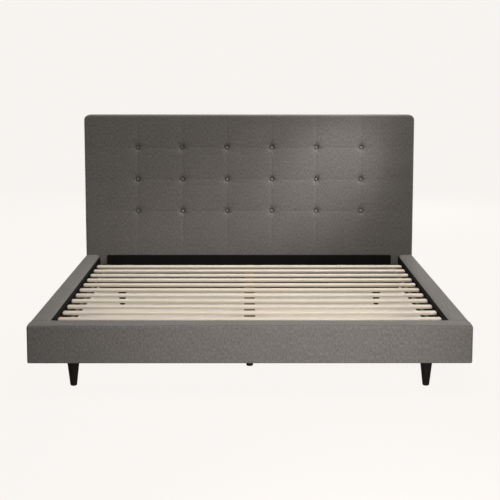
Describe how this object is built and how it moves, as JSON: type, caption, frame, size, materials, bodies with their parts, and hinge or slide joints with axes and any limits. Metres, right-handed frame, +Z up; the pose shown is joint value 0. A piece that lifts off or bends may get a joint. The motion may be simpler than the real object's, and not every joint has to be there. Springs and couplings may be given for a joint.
{
  "type": "upholstered headboard bed",
  "caption": "Low platform bed with padded fabric rails, a button-tufted fabric headboard, wooden cross slats on a centre beam and tapered dark legs.",
  "frame": {"origin": "on the floor, at the centre of the bed's bounding box", "axes": "+X to the right seen from the foot end, +Y from the foot end to the headboard, +Z up"},
  "size_m": [2.135, 2.285, 1.222],
  "materials": {
    "grey_fabric": "matt woven upholstery fabric",
    "button_fabric": "the same fabric stretched over buttons",
    "black_cloth": "thin black lining cloth",
    "slat_wood": "planed light softwood, satin",
    "frame_timber": "sawn timber and plywood",
    "brown_timber": "dark brown stained timber",
    "lined_board": "board lined with black cloth",
    "black_lacquer": "satin black lacquer on turned wood",
    "black_steel": "black powder coat",
    "black_rubber": "black glide"
  },
  "bodies": {
    "bed_frame": {"headboard_upholstery": "grey_fabric", "foot_rail_cover": "grey_fabric", "head_rail_cover": "grey_fabric", "side_rail_cover_left": "grey_fabric", "side_rail_cover_right": "grey_fabric", "tuft_button_row1_col1": "button_fabric", "tuft_button_row1_col2": "button_fabric", "tuft_button_row1_col3": "button_fabric", "tuft_button_row1_col4": "button_fabric", "tuft_button_row1_col5": "button_fabric", "tuft_button_row1_col6": "button_fabric", "tuft_button_row2_col1": "button_fabric", "tuft_button_row2_col2": "button_fabric", "tuft_button_row2_col3": "button_fabric", "tuft_button_row2_col4": "button_fabric", "tuft_button_row2_col5": "button_fabric", "tuft_button_row2_col6": "button_fabric", "tuft_button_row3_col1": "button_fabric", "tuft_button_row3_col2": "button_fabric", "tuft_button_row3_col3": "button_fabric", "tuft_button_row3_col4": "button_fabric", "tuft_button_row3_col5": "button_fabric", "tuft_button_row3_col6": "button_fabric", "headboard_back_cloth": "black_cloth", "head_cross_board": "black_cloth", "headboard_panel": "frame_timber", "headboard_top_rail": "frame_timber", "headboard_bottom_rail": "frame_timber", "headboard_post_left": "frame_timber", "headboard_post_right": "frame_timber", "foot_rail_core": "lined_board", "head_rail_core": "lined_board", "side_rail_core_left": "lined_board", "side_rail_core_right": "lined_board", "slat_ledger_left": "lined_board", "slat_ledger_right": "lined_board", "slat_01": "slat_wood", "slat_02": "slat_wood", "slat_03": "slat_wood", "slat_04": "slat_wood", "slat_05": "slat_wood", "slat_06": "slat_wood", "slat_07": "slat_wood", "slat_08": "slat_wood", "slat_09": "slat_wood", "slat_10": "slat_wood", "slat_11": "slat_wood", "slat_12": "slat_wood", "centre_beam": "brown_timber", "leg_front_left": "black_lacquer", "leg_front_right": "black_lacquer", "leg_rear_left": "black_lacquer", "leg_rear_right": "black_lacquer", "beam_shoe": "black_steel", "centre_leg_front": "black_steel", "centre_leg_rear": "black_steel", "rail_bracket_left": "black_steel", "rail_bracket_right": "black_steel"},
    "front_levelling_foot": {"levelling_foot_front": "black_rubber"},
    "rear_levelling_foot": {"levelling_foot_rear": "black_rubber"}
  },
  "joints": [
    {"name": "front_foot_height", "type": "slide", "parent": "bed_frame", "child": "front_levelling_foot", "axis": [0, 0, 1], "range_m": [0, 0.01]},
    {"name": "rear_foot_height", "type": "slide", "parent": "bed_frame", "child": "rear_levelling_foot", "axis": [0, 0, 1], "range_m": [0, 0.01]}
  ]
}
